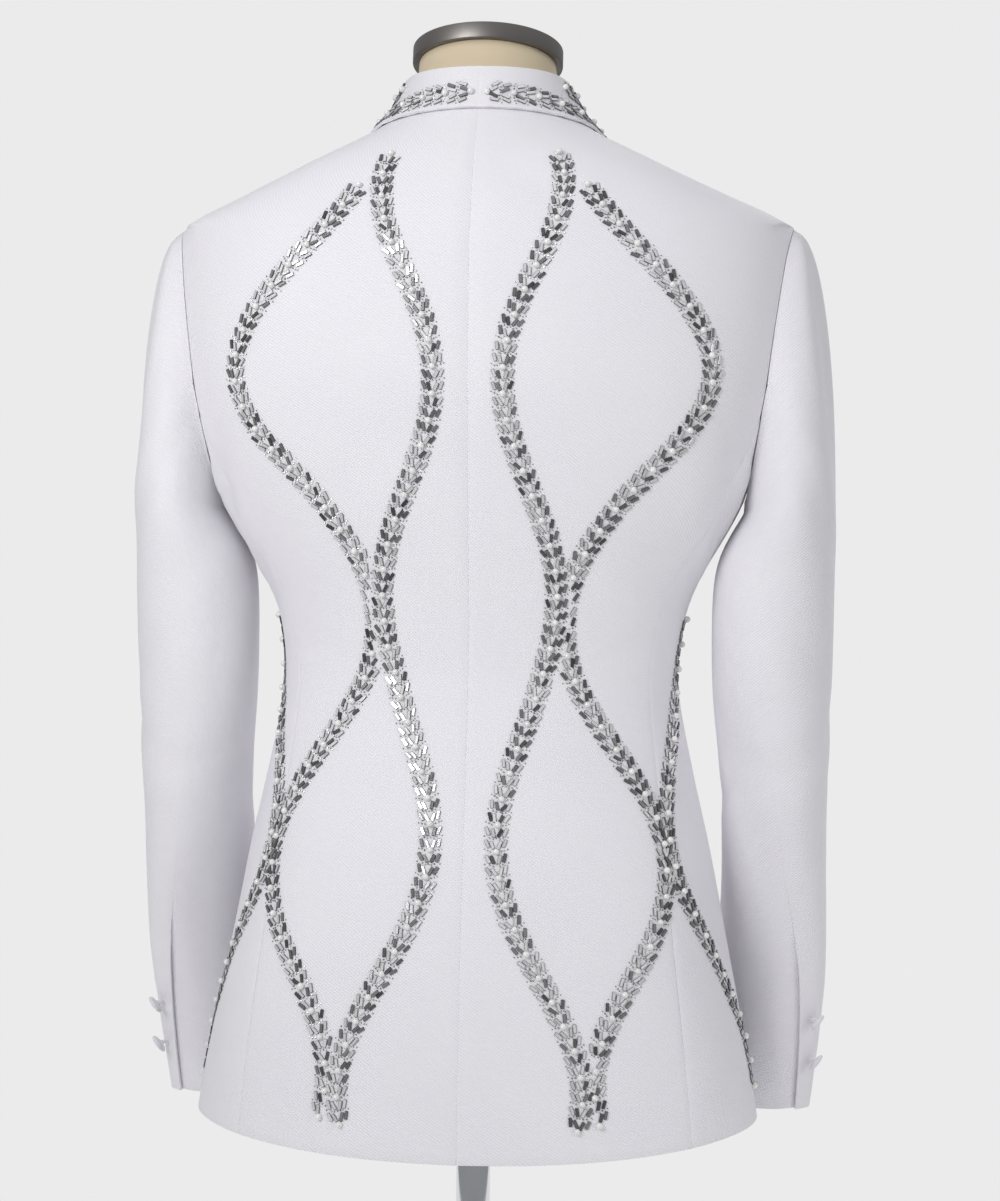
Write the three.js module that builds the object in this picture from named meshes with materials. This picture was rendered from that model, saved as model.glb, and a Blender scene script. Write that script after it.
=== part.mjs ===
// White fitted dinner jacket with a shawl collar, worn by a limbless half-body dress form
// on a low counter stand. Millimetres, +Z up. The front faces -Y, the wearer's left is +X.
import * as THREE from 'three';
import { mergeVertices } from 'three/addons/utils/BufferGeometryUtils.js';

const degree = Math.PI / 180;

// Cloth
const clothThickness = 2;
const seamGap = 0.3;
const lapDrop = clothThickness + 3 * seamGap;

// Jacket body
const hemBackZ = 250;
const hemSideZ = 264;
const neckBackZ = 996;
const neckSideZ = 985;
const neckFrontZ = 978;
const neckFrontTurn = -45 * degree;
const shoulderZ = 914;
const jacketShiftY = -16;

// Half widths and depths of the body's level sections. Between bladeTurn and the middle of the
// back or front they follow the blade column. A round of 1 is an ellipse, less is squarer.
const bodyRings = [
  { z: 236, halfWidth: 211, blade: 211, back: 131, front: 110, round: 0.92 },
  { z: 264, halfWidth: 208.5, blade: 208.5, back: 130, front: 110, round: 0.92 },
  { z: 330, halfWidth: 197, blade: 197, back: 127, front: 111, round: 0.91 },
  { z: 395, halfWidth: 184, blade: 184, back: 121, front: 110, round: 0.9 },
  { z: 462, halfWidth: 170.5, blade: 170.5, back: 110, front: 106, round: 0.89 },
  { z: 521, halfWidth: 156.5, blade: 156.5, back: 98, front: 101, round: 0.88 },
  { z: 590, halfWidth: 145, blade: 145, back: 88, front: 98, round: 0.88 },
  { z: 623, halfWidth: 148.5, blade: 148.5, back: 89, front: 100, round: 0.87 },
  { z: 650, halfWidth: 157, blade: 157, back: 92, front: 103, round: 0.86 },
  { z: 687, halfWidth: 178, blade: 178, back: 99, front: 108, round: 0.84 },
  { z: 710, halfWidth: 191, blade: 191, back: 103, front: 110, round: 0.83 },
  { z: 770, halfWidth: 214, blade: 214, back: 112, front: 114, round: 0.8 },
  { z: 820, halfWidth: 224, blade: 223, back: 117, front: 115, round: 0.8 },
  { z: 870, halfWidth: 228, blade: 222, back: 116, front: 112, round: 0.8 },
  { z: 900, halfWidth: 228, blade: 212, back: 110, front: 106, round: 0.8 },
  { z: 914, halfWidth: 226, blade: 203, back: 106, front: 101, round: 0.8 },
  { z: 923, halfWidth: 209, blade: 195, back: 103, front: 97, round: 0.81 },
  { z: 946, halfWidth: 151, blade: 163, back: 93, front: 85, round: 0.85 },
  { z: 964, halfWidth: 111, blade: 128, back: 82, front: 74, round: 0.9 },
  { z: 977, halfWidth: 86.5, blade: 99, back: 73, front: 66, round: 0.94 },
  { z: 985, halfWidth: 77, blade: 83, back: 67, front: 61, round: 0.96 },
  { z: 1000, halfWidth: 66.5, blade: 66.5, back: 59.5, front: 55, round: 1 },
  { z: 1022, halfWidth: 56.5, blade: 56.5, back: 54.5, front: 52, round: 1 },
];

const bladeTurn = 45 * degree;

// Turns of the seams on both sides of the side panels, up to the armhole
const sideSeams = [
  { z: 236, backTurn: 41, frontTurn: -38 },
  { z: 330, backTurn: 40.5, frontTurn: -38 },
  { z: 430, backTurn: 38.5, frontTurn: -36 },
  { z: 545, backTurn: 33, frontTurn: -33 },
  { z: 650, backTurn: 28, frontTurn: -28 },
  { z: 725, backTurn: 23, frontTurn: -23 },
];

// Armhole, as an upright oval on the body's surface
const armholeZ = 812;
const armholeHalfHeight = shoulderZ - armholeZ;
const armholeBackReach = 53;
const armholeFrontReach = 50;
const armholeUpperSteps = [100, 80, 60, 40, 20, 0];
const armholeLowerSteps = [114, 136, 158, 180, 202, 224, 246];

// Front edges: a roll line down to one button, then a rounded cutaway
const buttonLineZ = 590;
const lapX = -18;
const rollTopX = 62;
const rollBow = 4;
const cutawayTopZ = 412;
const cutawayX = -4;
const cutawayTurn = -52 * degree;
const cutawayHeight = cutawayTopZ - hemSideZ;
const lapFadeStartX = 22;
const lapFadeX = 46;
const lapFadeBottomZ = 680;
const lapFadeTopZ = 760;
const frontColumnBias = 1.6;

// Fold of the shawl collar round the neck, and its outer edge there
const collarRows = [
  { foldTurn: -45, foldZ: 978, edgeTurn: -38, edgeZ: 963 },
  { foldTurn: -36, foldZ: 988, edgeTurn: -27, edgeZ: 968 },
  { foldTurn: -24, foldZ: 1000, edgeTurn: -14, edgeZ: 972.5 },
  { foldTurn: -8, foldZ: 1011, edgeTurn: 0, edgeZ: 976 },
  { foldTurn: 10, foldZ: 1017, edgeTurn: 14, edgeZ: 979.5 },
  { foldTurn: 32, foldZ: 1020, edgeTurn: 34, edgeZ: 984 },
  { foldTurn: 60, foldZ: 1021, edgeTurn: 61, edgeZ: 988.5 },
  { foldTurn: 90, foldZ: 1021, edgeTurn: 90, edgeZ: 990 },
];

// Outer edge of the shawl collar down the front
const lapelRows = [
  { foldZ: 592, edgeX: -17, edgeZ: 590.5 },
  { foldZ: 620, edgeX: 20, edgeZ: 616 },
  { foldZ: 650, edgeX: 46, edgeZ: 643 },
  { foldZ: 700, edgeX: 76, edgeZ: 688 },
  { foldZ: 750, edgeX: 95, edgeZ: 733 },
  { foldZ: 800, edgeX: 106, edgeZ: 781 },
  { foldZ: 850, edgeX: 110, edgeZ: 830 },
  { foldZ: 900, edgeX: 109, edgeZ: 880 },
  { foldZ: 945, edgeX: 103, edgeZ: 930 },
  { foldZ: 978, edgeX: 96, edgeZ: 962 },
];
const lapelEndZ = { left: 592, right: 616 };

// Air between the shawl collar and the panels that it lies on
const collarLift = 2.1;
const collarStandEndTurn = -40 * degree;

// Soft drag folds on the back: middle, slope, length, width and depth of each
const bodyFolds = [
  { turn: 33, z: 742, slope: 66, length: 90, width: 15, depth: 3 },
  { turn: 45, z: 715, slope: 58, length: 70, width: 13, depth: -2 },
  { turn: 62, z: 590, slope: 8, length: 80, width: 13, depth: -1.6 },
];

// Sleeve sections below the armhole: centre, half sizes and turn about Z
const sleeveRings = [
  { z: 258, x: 200, y: -99, across: 33, along: 55.5, turn: 50 },
  { z: 300, x: 206.5, y: -90, across: 34, along: 55.5, turn: 44 },
  { z: 350, x: 213.5, y: -78, across: 35, along: 56, turn: 35 },
  { z: 400, x: 217, y: -58, across: 36.5, along: 56.5, turn: 25 },
  { z: 447, x: 217, y: -38, across: 38, along: 57, turn: 15 },
  { z: 521, x: 216, y: -17, across: 41, along: 59, turn: 5 },
  { z: 578, x: 213.7, y: -9, across: 44.8, along: 61, turn: 0 },
  { z: 620, x: 213.7, y: -6, across: 45.3, along: 63, turn: 0 },
  { z: 665, x: 214.2, y: -5, across: 45.3, along: 66, turn: 0 },
  { z: 690, x: 221.2, y: -5, across: 38.3, along: 68, turn: 0 },
  { z: 704, x: 225.4, y: -5, across: 34.3, along: 69, turn: 0 },
];
const sleeveEndZ = 258;
const sleeveTopZ = 704;
const sleeveHeadRound = 0.9;
const sleeveHeadRows = 7;
const sleeveLowerRows = 15;
const armholeClearance = 0.5;
const hindSeamTop = 100;
const hindSeamCuff = 105;
const ventHeight = 112;
const ventFadeHeight = 20;
const ventUnderlap = 15;
const ventDrop = 3.3;
const ventDropStep = 2;
const ventDropFade = 14;

// Soft folds of the sleeves, as bodyFolds, with the turn round the sleeve
const sleeveFolds = [
  { turn: 85, z: 560, slope: -35, length: 60, width: 15, depth: -2.2 },
  { turn: 60, z: 470, slope: -25, length: 55, width: 14, depth: -1.8 },
  { turn: 70, z: 690, slope: 50, length: 70, width: 17, depth: 2 },
];
const bodyFoldRadius = 130;
const sleeveFoldRadius = 55;

// Covered buttons
const sleeveButtonRadius = 8;
const sleeveButtonThickness = 4;
const sleeveButtonShank = 4;
const sleeveButtonLean = 4.4;
const sleeveButtonAxis = [0.78, 0.12, -0.62];
const sleeveButtonTurn = 90;
const sleeveButtonZ = [330, 298];
const sleeveButtonLift = 7.7;
const frontButtonRadius = 10;
const frontButtonThickness = 5;
const frontButtonShank = 1.4;
const frontButtonZ = 578;

// Dress form and stand
const formClearance = 9;
const formNeckClearance = 5.5;
const formShoulderClearance = 4;
const formShoulderFade = { z: 840, height: 80 };
const formNeckFade = { z: 960, height: 60 };
const formBottomZ = 330;
const formShoulderX = 196;
const formNeckRadius = 51;
const formNeckY = 1;
const formNeckTopZ = 1033;
const neckTilt = 10 * degree;
const capRadius = 55.5;
const capHeight = 12;
const poleRadius = 12.5;
const baseRadius = 160;
const baseHeight = 10;
const hubRadius = 32;
const hubHeight = 26;

const materials = {
  cloth: new THREE.MeshStandardMaterial({ color: 0xf2f0f4, roughness: 0.75, metalness: 0 }),
  form: new THREE.MeshStandardMaterial({ color: 0xe6d6b4, roughness: 0.85, metalness: 0 }),
  cap: new THREE.MeshStandardMaterial({ color: 0x8a8480, roughness: 0.35, metalness: 1 }),
  chrome: new THREE.MeshStandardMaterial({ color: 0xc9cbce, roughness: 0.15, metalness: 1 }),
};

const mix = (from, to, part) => from + (to - from) * part;
const clamp = (value) => Math.min(Math.max(value, 0), 1);
const ease = (value) => clamp(value) ** 2 * (3 - 2 * clamp(value));

// Value of one named column at a place along the rising key column, with no overshoot
function smoothAt(table, key, column, place) {
  const last = table.length - 1;
  const spot = Math.min(Math.max(place, table[0][key]), table[last][key]);
  let row = 0;
  while (row < last - 1 && spot > table[row + 1][key]) row += 1;
  const rise = (index) => {
    const step = table[index + 1][key] - table[index][key];
    return (table[index + 1][column] - table[index][column]) / step;
  };
  const slope = (index) => {
    if (index === 0) return rise(0);
    if (index === last) return rise(last - 1);
    const before = rise(index - 1);
    const after = rise(index);
    return before * after <= 0 ? 0 : (2 * before * after) / (before + after);
  };
  const span = table[row + 1][key] - table[row][key];
  const part = (spot - table[row][key]) / span;
  const rest = 1 - part;
  const ends = table[row][column] * rest ** 2 * (1 + 2 * part)
    + table[row + 1][column] * part ** 2 * (3 - 2 * part);
  return ends + span * part * rest * (slope(row) * rest - slope(row + 1) * part);
}

// Height of a fold table's soft waves at a place. The measure across is in millimetres.
function foldDepth(folds, turn, z, radius) {
  let total = 0;
  for (const fold of folds) {
    const across = (turn - fold.turn) * degree * radius;
    const up = z - fold.z;
    const along = across * Math.cos(fold.slope * degree) + up * Math.sin(fold.slope * degree);
    const aside = up * Math.cos(fold.slope * degree) - across * Math.sin(fold.slope * degree);
    total += fold.depth * Math.exp(-((along / fold.length) ** 2) - (aside / fold.width) ** 2);
  }
  return total;
}

const halfWidthAt = (z) => smoothAt(bodyRings, 'z', 'halfWidth', z);

// Point of the body's level section. Turn 0 is the wearer's left side, a quarter turn is the back.
function ringPoint(turn, z) {
  const power = smoothAt(bodyRings, 'z', 'round', z);
  const bladePart = ease(Math.abs(Math.sin(turn)) / Math.sin(bladeTurn));
  const halfWidth = mix(halfWidthAt(z), smoothAt(bodyRings, 'z', 'blade', z), bladePart);
  const depth = smoothAt(bodyRings, 'z', Math.sin(turn) > 0 ? 'back' : 'front', z);
  const across = Math.cos(turn);
  const along = Math.sin(turn);
  return new THREE.Vector3(
    halfWidth * Math.sign(across) * Math.abs(across) ** power,
    depth * Math.sign(along) * Math.abs(along) ** power,
    z,
  );
}

// Body surface moved out along its normal, with the back's soft folds
function bodyPoint(turn, z, out) {
  const turnStep = 0.01;
  const zStep = 1.5;
  const round = ringPoint(turn + turnStep, z).sub(ringPoint(turn - turnStep, z));
  const up = ringPoint(turn, z + zStep).sub(ringPoint(turn, z - zStep));
  const normal = round.cross(up).normalize();
  const side = Math.min(turn, Math.PI - turn);
  const wave = foldDepth(bodyFolds, side / degree, z, bodyFoldRadius);
  return ringPoint(turn, z).addScaledVector(normal, out + wave);
}

// Turn that gives the section at z a wanted depth, positive at the back
function turnAtDepth(y, z) {
  const power = smoothAt(bodyRings, 'z', 'round', z);
  const depth = smoothAt(bodyRings, 'z', y > 0 ? 'back' : 'front', z);
  return Math.sign(y) * Math.asin(clamp(Math.abs(y) / depth) ** (1 / power));
}

// Turn on the front half that gives the section at z a wanted x
function turnAtFrontX(x, z) {
  const power = smoothAt(bodyRings, 'z', 'round', z);
  const halfWidth = smoothAt(bodyRings, 'z', 'blade', z);
  return -Math.acos(Math.sign(x) * clamp(Math.abs(x) / halfWidth) ** (1 / power));
}

function armholePoint(step) {
  const z = armholeZ + armholeHalfHeight * Math.cos(step * degree);
  const reach = Math.sin(step * degree) > 0 ? armholeBackReach : armholeFrontReach;
  return ringPoint(turnAtDepth(reach * Math.sin(step * degree), z), z);
}

const armholeCornerZ = armholeZ + armholeHalfHeight * Math.cos(armholeLowerSteps[0] * degree);

// Levels of a panel's rows: hem to armhole corner, armhole, then shoulder to neck
function panelLevels() {
  const lowRows = 18;
  const shoulderRows = 9;
  const levels = [];
  for (let row = 0; row <= lowRows; row += 1) levels.push(mix(hemBackZ, armholeCornerZ, row / lowRows));
  for (const step of armholeUpperSteps) {
    levels.push(armholeZ + armholeHalfHeight * Math.cos(step * degree));
  }
  for (let row = 1; row <= shoulderRows; row += 1) {
    levels.push(mix(shoulderZ, neckBackZ, row / shoulderRows));
  }
  return levels;
}

function rollLineX(z) {
  if (z < buttonLineZ) {
    return mix(lapX, cutawayX, ((buttonLineZ - z) / (buttonLineZ - cutawayTopZ)) ** 2);
  }
  const part = clamp((z - buttonLineZ) / (neckFrontZ - buttonLineZ));
  return mix(lapX, rollTopX, part) + rollBow * Math.sin(Math.PI * part);
}

function hemHeight(turn) {
  if (turn > 0) return mix(hemBackZ, hemSideZ, Math.cos(turn) ** 2);
  const cutawayEnd = turnAtFrontX(cutawayX, cutawayTopZ);
  const part = clamp((turn - cutawayTurn) / (cutawayEnd - cutawayTurn));
  return hemSideZ + cutawayHeight * (1 - Math.sqrt(1 - part ** 2));
}

function neckHeight(turn) {
  if (turn > 0) return mix(neckSideZ, neckBackZ, Math.sin(turn) ** 2);
  return mix(neckSideZ, neckFrontZ, clamp(turn / neckFrontTurn));
}

// Real height of a row of a panel at a turn
function heightAt(level, turn) {
  if (level <= armholeCornerZ) {
    return mix(hemHeight(turn), armholeCornerZ, (level - hemBackZ) / (armholeCornerZ - hemBackZ));
  }
  if (level <= shoulderZ) return level;
  const top = neckHeight(turn) - seamGap / 2;
  return mix(shoulderZ, top, (level - shoulderZ) / (neckBackZ - shoulderZ));
}

// Edge of the back or front panel towards the side: seam, armhole, then shoulder seam
function sideEdgeTurn(level, atBack) {
  const reach = atBack ? armholeBackReach : -armholeFrontReach;
  if (level < armholeCornerZ) {
    const seam = atBack ? 'backTurn' : 'frontTurn';
    const lastRow = sideSeams[sideSeams.length - 1];
    if (level <= lastRow.z) return smoothAt(sideSeams, 'z', seam, level) * degree;
    const cornerTurn = sideEdgeTurn(armholeCornerZ, atBack);
    const part = (level - lastRow.z) / (armholeCornerZ - lastRow.z);
    return mix(lastRow[seam] * degree, cornerTurn, part);
  }
  if (level >= shoulderZ) return 0;
  const height = (level - armholeZ) / armholeHalfHeight;
  return turnAtDepth(reach * Math.sqrt(1 - height ** 2), level);
}

function insetTurn(turn, z) {
  const step = 0.004;
  return (seamGap / 2) * step / ringPoint(turn, z).distanceTo(ringPoint(turn + step, z));
}

function meshFromFaces(positions, faces) {
  let volume = 0;
  const corner = (index) => new THREE.Vector3().fromArray(positions, index * 3);
  for (let face = 0; face < faces.length; face += 3) {
    const [a, b, c] = [corner(faces[face]), corner(faces[face + 1]), corner(faces[face + 2])];
    volume += a.dot(b.cross(c));
  }
  const ordered = volume > 0 ? faces : faces.slice().reverse();
  const geometry = new THREE.BufferGeometry();
  geometry.setAttribute('position', new THREE.Float32BufferAttribute(positions, 3));
  geometry.setIndex(ordered);
  geometry.computeVertexNormals();
  return geometry;
}

// Closed wall of cloth over a grid of rows and columns. pointAt gives a point moved out.
function clothWall(rowCount, columnCount, pointAt, outer = 0, inner = -clothThickness) {
  const positions = [];
  const faces = [];
  for (const out of [outer, inner]) {
    for (let row = 0; row < rowCount; row += 1) {
      for (let column = 0; column < columnCount; column += 1) {
        positions.push(...pointAt(row, column, out).toArray());
      }
    }
  }
  const index = (layer, row, column) => (layer * rowCount + row) * columnCount + column;
  const quad = (a, b, c, d) => faces.push(a, b, c, a, c, d);
  for (let row = 0; row < rowCount - 1; row += 1) {
    for (let column = 0; column < columnCount - 1; column += 1) {
      const corners = [[row, column], [row, column + 1], [row + 1, column + 1], [row + 1, column]];
      quad(...corners.map((corner) => index(0, ...corner)));
      quad(...corners.reverse().map((corner) => index(1, ...corner)));
    }
  }
  const rim = [];
  for (let column = 0; column < columnCount - 1; column += 1) rim.push([0, column]);
  for (let row = 0; row < rowCount - 1; row += 1) rim.push([row, columnCount - 1]);
  for (let column = columnCount - 1; column > 0; column -= 1) rim.push([rowCount - 1, column]);
  for (let row = rowCount - 1; row > 0; row -= 1) rim.push([row, 0]);
  rim.forEach((start, place) => {
    const end = rim[(place + 1) % rim.length];
    quad(index(0, ...end), index(0, ...start), index(1, ...start), index(1, ...end));
  });
  return meshFromFaces(positions, faces);
}

const mirrored = (point, side) => point.multiply(new THREE.Vector3(side, 1, 1));

function backPanel(side) {
  const levels = panelLevels();
  const columns = 8;
  return clothWall(levels.length, columns, (row, column, out) => {
    const level = levels[row];
    const edge = sideEdgeTurn(level, true);
    const start = Math.PI / 2 - insetTurn(Math.PI / 2, level);
    const turn = mix(start, edge + insetTurn(edge, level), column / (columns - 1));
    return mirrored(bodyPoint(turn, heightAt(level, turn), out), side);
  });
}

// How far the lower front is moved in under the upper one
function lapDropAt(x, z) {
  const across = 1 - ease((x - lapFadeStartX) / (lapFadeX - lapFadeStartX));
  const up = 1 - ease((z - lapFadeBottomZ) / (lapFadeTopZ - lapFadeBottomZ));
  return lapDrop * across * up;
}

function frontPoint(turn, z, out, side) {
  const drop = side < 0 ? lapDropAt(ringPoint(turn, z).x, z) : 0;
  return mirrored(bodyPoint(turn, z, out - drop), side);
}

function frontPanel(side) {
  const levels = panelLevels();
  const columns = 9;
  return clothWall(levels.length, columns, (row, column, out) => {
    const level = levels[row];
    const seam = sideEdgeTurn(level, false);
    const edgeZ = heightAt(level, -Math.PI);
    const roll = turnAtFrontX(rollLineX(edgeZ), edgeZ);
    const part = 1 - (1 - column / (columns - 1)) ** frontColumnBias;
    const turn = mix(seam - insetTurn(seam, level), roll, part);
    return frontPoint(turn, heightAt(level, turn), out, side);
  });
}

function sidePanel(side) {
  const levels = panelLevels().filter((level) => level <= armholeCornerZ + 0.01);
  const steps = armholeLowerSteps;
  return clothWall(levels.length, steps.length, (row, column, out) => {
    const top = armholePoint(steps[column]);
    const topTurn = turnAtDepth(top.y, top.z);
    const level = levels[row];
    const back = sideEdgeTurn(level, true);
    const front = sideEdgeTurn(level, false);
    const backCorner = sideEdgeTurn(armholeCornerZ, true);
    const frontCorner = sideEdgeTurn(armholeCornerZ, false);
    const share = (topTurn - backCorner) / (frontCorner - backCorner);
    const turn = mix(back - insetTurn(back, level), front + insetTurn(front, level), share);
    const hem = hemHeight(turn);
    const part = (level - hemBackZ) / (armholeCornerZ - hemBackZ);
    return mirrored(bodyPoint(turn, mix(hem, top.z, part), out), side);
  });
}

function foldHeight(turn) {
  const place = Math.min(turn, Math.PI - turn) / degree;
  return smoothAt(collarRows, 'foldTurn', 'foldZ', place);
}

// Inner band of the collar, from the neck seam up to the fold
function collarStand() {
  const rows = 25;
  const columns = 3;
  return clothWall(rows, columns, (row, column, out) => {
    const turn = mix(collarStandEndTurn, Math.PI - collarStandEndTurn, row / (rows - 1));
    const low = neckHeight(Math.min(turn, Math.PI - turn)) + 2 * seamGap;
    return bodyPoint(turn, mix(low, foldHeight(turn), column / (columns - 1)), out);
  });
}

// Fold and outer edge of the shawl collar at a row, as turn and height
function shawlRow(row, neckRows, lapelRowCount, endZ) {
  if (row < neckRows) {
    const foldTurn = mix(90, collarRows[0].foldTurn, row / neckRows);
    return {
      foldTurn: foldTurn * degree,
      foldZ: smoothAt(collarRows, 'foldTurn', 'foldZ', foldTurn),
      edgeTurn: smoothAt(collarRows, 'foldTurn', 'edgeTurn', foldTurn) * degree,
      edgeZ: smoothAt(collarRows, 'foldTurn', 'edgeZ', foldTurn),
    };
  }
  const foldZ = mix(neckFrontZ, endZ, (row - neckRows) / lapelRowCount);
  const edgeZ = smoothAt(lapelRows, 'foldZ', 'edgeZ', foldZ);
  return {
    foldTurn: turnAtFrontX(rollLineX(foldZ), foldZ),
    foldZ,
    edgeTurn: turnAtFrontX(smoothAt(lapelRows, 'foldZ', 'edgeX', foldZ), edgeZ),
    edgeZ,
  };
}

function shawlCollar(side) {
  const neckRows = 10;
  const lapelRowCount = 15;
  const columns = 6;
  const endZ = side > 0 ? lapelEndZ.left : lapelEndZ.right;
  const pointAt = (row, column, out) => {
    const line = shawlRow(row, neckRows, lapelRowCount, endZ);
    let foldTurn = line.foldTurn;
    const hiddenX = -rollLineX(line.foldZ) + 2 * seamGap;
    if (side < 0 && row >= neckRows && hiddenX > rollLineX(line.foldZ)) {
      foldTurn = turnAtFrontX(hiddenX, line.foldZ);
    }
    const part = column / (columns - 1);
    const inset = row === 0 ? insetTurn(Math.PI / 2, line.foldZ) : 0;
    const turn = mix(foldTurn, line.edgeTurn, part) - inset;
    return frontPoint(turn, mix(line.foldZ, line.edgeZ, part), out, side);
  };
  const rows = neckRows + lapelRowCount + 1;
  return clothWall(rows, columns, pointAt, collarLift + clothThickness, collarLift);
}

function sleeveRingPoint(step, z) {
  const at = (column) => smoothAt(sleeveRings, 'z', column, z);
  const turn = at('turn') * degree;
  const across = at('across') * Math.cos(step * degree);
  const along = at('along') * Math.sin(step * degree);
  return new THREE.Vector3(
    at('x') + across * Math.cos(turn) + along * Math.sin(turn),
    at('y') - across * Math.sin(turn) + along * Math.cos(turn),
    z,
  );
}

// Sleeve surface. Stretch 0 is the armhole, 1 the section under it, 2 the cuff.
function sleeveSurface(step, stretch) {
  if (stretch >= 1) return sleeveRingPoint(step, mix(sleeveTopZ, sleeveEndZ, stretch - 1));
  const start = armholePoint(step);
  start.x += armholeClearance;
  const end = sleeveRingPoint(step, sleeveTopZ);
  const angle = stretch * Math.PI / 2;
  return new THREE.Vector3(
    mix(start.x, end.x, Math.sin(angle) ** sleeveHeadRound),
    mix(start.y, end.y, 1 - Math.cos(angle)),
    mix(end.z, start.z, Math.cos(angle)),
  );
}

function sleeveNormal(step, stretch) {
  const stepSize = 1;
  const stretchSize = 0.02;
  const round = sleeveSurface(step + stepSize, stretch).sub(sleeveSurface(step - stepSize, stretch));
  const before = sleeveSurface(step, Math.max(stretch - stretchSize, 0));
  const down = sleeveSurface(step, Math.min(stretch + stretchSize, 2)).sub(before);
  return down.cross(round).normalize();
}

function sleevePoint(step, stretch, out, side) {
  const point = sleeveSurface(step, stretch);
  const wave = stretch < 1 ? 0 : foldDepth(sleeveFolds, step, point.z, sleeveFoldRadius);
  return mirrored(point.addScaledVector(sleeveNormal(step, stretch), out + wave), side);
}

function sleeveStretches() {
  const stretches = [];
  for (let row = 0; row <= sleeveHeadRows; row += 1) stretches.push(row / sleeveHeadRows);
  for (let row = 1; row <= sleeveLowerRows; row += 1) stretches.push(1 + row / sleeveLowerRows);
  return stretches;
}

const hindSeamAt = (stretch) => mix(hindSeamTop, hindSeamCuff, stretch / 2);
const sleeveGapStep = 0.2;
const ventRowHeight = (sleeveTopZ - sleeveEndZ) / sleeveLowerRows;

function upperSleeve(side) {
  const stretches = sleeveStretches();
  const foreSteps = armholeUpperSteps.map((step) => -step);
  const steps = [-136, -114, ...foreSteps, ...armholeUpperSteps.slice(0, -1).reverse()];
  return clothWall(stretches.length, steps.length, (row, column, out) => {
    const first = steps[0] + sleeveGapStep;
    const last = hindSeamAt(stretches[row]) - sleeveGapStep;
    const share = (steps[column] - steps[0]) / (steps[steps.length - 1] - steps[0]);
    return sleevePoint(mix(first, last, share), stretches[row], out, side);
  });
}

// Part of the vent's underlap at a height, from none above the vent to all inside it
function ventPart(z) {
  return ease((sleeveEndZ + ventHeight - z) / ventFadeHeight);
}

function underSleeve(side) {
  const stretches = sleeveStretches();
  const steps = [hindSeamTop, ...armholeLowerSteps.slice(0, -1)];
  return clothWall(stretches.length, steps.length, (row, column, out) => {
    const stretch = stretches[row];
    const z = sleeveSurface(hindSeamCuff, stretch).z;
    const seam = hindSeamAt(stretch) + sleeveGapStep;
    const first = seam - ventUnderlap * ventPart(z);
    const share = (steps[column] - steps[0]) / (steps[steps.length - 1] - steps[0]);
    const step = mix(first, steps[steps.length - 1] - sleeveGapStep, share);
    const under = 1 - ease((step - seam - ventDropStep) / ventDropFade);
    return sleevePoint(step, stretch, out - ventDrop * under * ventPart(z - ventRowHeight), side);
  });
}

// Covered button on a short thread shank. Its axis is +Z, and the shank's foot lies at z 0,
// moved aside by the lean where the button hangs over to one side.
function buttonGeometry(radius, thickness, shankLength, lean = 0) {
  const rim = thickness / 2;
  const profile = [
    [0, 0], [1.1, 0.3], [1.6, 1.2], [1.6, shankLength], [radius - rim, shankLength],
    [radius, shankLength + rim], [radius - rim * 0.7, shankLength + thickness * 0.86],
    [radius * 0.4, shankLength + thickness], [0, shankLength + thickness * 1.05],
  ];
  const geometry = closedLathe(profile, 12);
  const points = geometry.getAttribute('position');
  for (let place = 0; place < points.count; place += 1) {
    if (points.getZ(place) < shankLength / 2) points.setX(place, points.getX(place) - lean);
  }
  return geometry;
}

function closedLathe(profile, segments) {
  const geometry = new THREE.LatheGeometry(profile.map(([x, y]) => new THREE.Vector2(x, y)), segments);
  geometry.rotateX(Math.PI / 2);
  geometry.deleteAttribute('normal');
  geometry.deleteAttribute('uv');
  const merged = mergeVertices(geometry, 1e-4);
  const faces = [];
  const index = merged.index.array;
  for (let face = 0; face < index.length; face += 3) {
    const [a, b, c] = [index[face], index[face + 1], index[face + 2]];
    if (a !== b && b !== c && a !== c) faces.push(a, b, c);
  }
  return meshFromFaces(Array.from(merged.attributes.position.array), faces);
}

function sleeveButton(side, z) {
  const stretch = 1 + (sleeveTopZ - z) / (sleeveTopZ - sleeveEndZ);
  const shape = buttonGeometry(
    sleeveButtonRadius, sleeveButtonThickness, sleeveButtonShank, sleeveButtonLean,
  );
  const mesh = new THREE.Mesh(shape, materials.cloth);
  const normal = mirrored(sleeveNormal(sleeveButtonTurn, stretch), side);
  const axis = mirrored(new THREE.Vector3(...sleeveButtonAxis), side).normalize();
  const aside = normal.clone().addScaledVector(axis, -normal.dot(axis)).normalize();
  const basis = new THREE.Matrix4().makeBasis(aside, axis.clone().cross(aside), axis);
  mesh.quaternion.setFromRotationMatrix(basis);
  mesh.position.copy(sleevePoint(sleeveButtonTurn, stretch, sleeveButtonLift, side));
  mesh.position.addScaledVector(axis, -(sleeveButtonShank + sleeveButtonThickness / 2));
  return mesh;
}

function frontButton() {
  const shape = buttonGeometry(frontButtonRadius, frontButtonThickness, frontButtonShank);
  const mesh = new THREE.Mesh(shape, materials.cloth);
  const turn = -Math.PI / 2;
  const seat = bodyPoint(turn, frontButtonZ, seamGap);
  const normal = bodyPoint(turn, frontButtonZ, 1 + seamGap).sub(seat);
  mesh.position.copy(seat);
  mesh.quaternion.setFromUnitVectors(new THREE.Vector3(0, 0, 1), normal);
  return mesh;
}

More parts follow.
